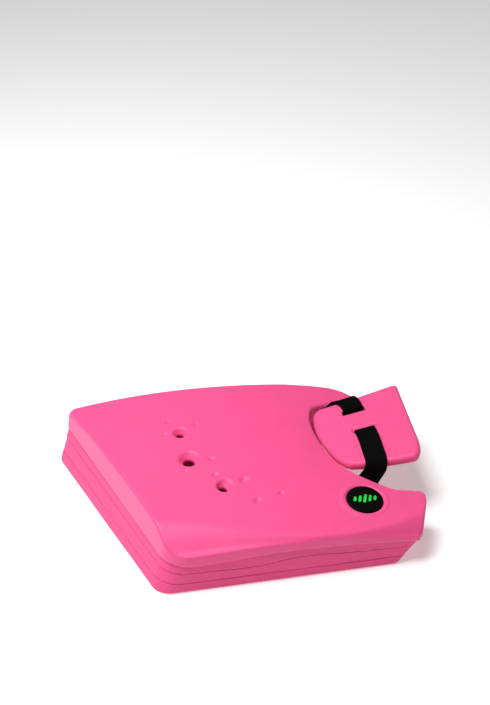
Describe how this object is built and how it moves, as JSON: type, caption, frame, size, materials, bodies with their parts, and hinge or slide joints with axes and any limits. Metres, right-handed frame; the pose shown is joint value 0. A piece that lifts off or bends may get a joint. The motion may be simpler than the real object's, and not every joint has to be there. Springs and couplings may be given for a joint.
{
  "type": "field hockey goalkeeper hand protector",
  "caption": "Left-hand field hockey goalkeeper's hand protector: domed laminated foam block with vents, palm-side hand cavity and straps, and a hinged foam wrist guard on an elastic strap.",
  "frame": {"origin": "centre of the whole object's bounding box at the plane of the back rim, which it rests on", "axes": "+X from the finger end to the wrist end, +Y to the thumb side, +Z out of the striking face"},
  "size_m": [0.3468, 0.226, 0.0737],
  "materials": {
    "face_foam": "smooth moulded skin on dense closed-cell foam",
    "back_foam": "closed-cell foam sheet with a fine cut grain",
    "guard_foam": "moulded closed-cell foam",
    "lining": "brushed knit lining on thin foam",
    "badge_plastic": "satin moulded badge",
    "emblem_green": "raised printed emblem",
    "elastic_webbing": "woven elastic",
    "hook_tape": "hook-and-loop tape",
    "black_plastic": "moulded nylon",
    "rivet_metal": "blackened steel rivet"
  },
  "bodies": {
    "block": {"face_layer": "face_foam", "core_layer": "back_foam", "upper_back_layer": "back_foam", "lower_back_layer": "back_foam", "hand_pad": "lining", "badge_plate": "badge_plastic", "badge_emblem": "emblem_green", "finger_strap": "elastic_webbing", "thumb_loop": "elastic_webbing", "hand_strap": "elastic_webbing", "ring_strap": "elastic_webbing", "strap_ring": "black_plastic", "palm_anchor_plates": "black_plastic", "palm_rivets": "rivet_metal", "wrist_anchor_plates": "black_plastic", "wrist_rivets": "rivet_metal", "wrist_strap_near": "elastic_webbing", "wrist_strap_far": "elastic_webbing"},
    "wrist_guard": {"wrist_guard": "guard_foam", "guard_strap_run": "elastic_webbing"},
    "hand_strap_tab": {"hand_strap_tab": "hook_tape"}
  },
  "joints": [
    {"name": "wrist_guard_flex", "type": "hinge", "parent": "block", "child": "wrist_guard", "pos_m": [0.097, 0, 0.0545], "axis": [0, -1, 0], "range_deg": [-10, 30], "stiffness_Nm_per_rad": 0.2, "springref_deg": 1.26, "deforming": ["wrist_strap_near", "wrist_strap_far"]},
    {"name": "hand_strap_tab_peel", "type": "hinge", "parent": "block", "child": "hand_strap_tab", "pos_m": [0.032, 0.0432, 0.0044], "axis": [1, 0, 0], "range_deg": [0, 90]}
  ]
}
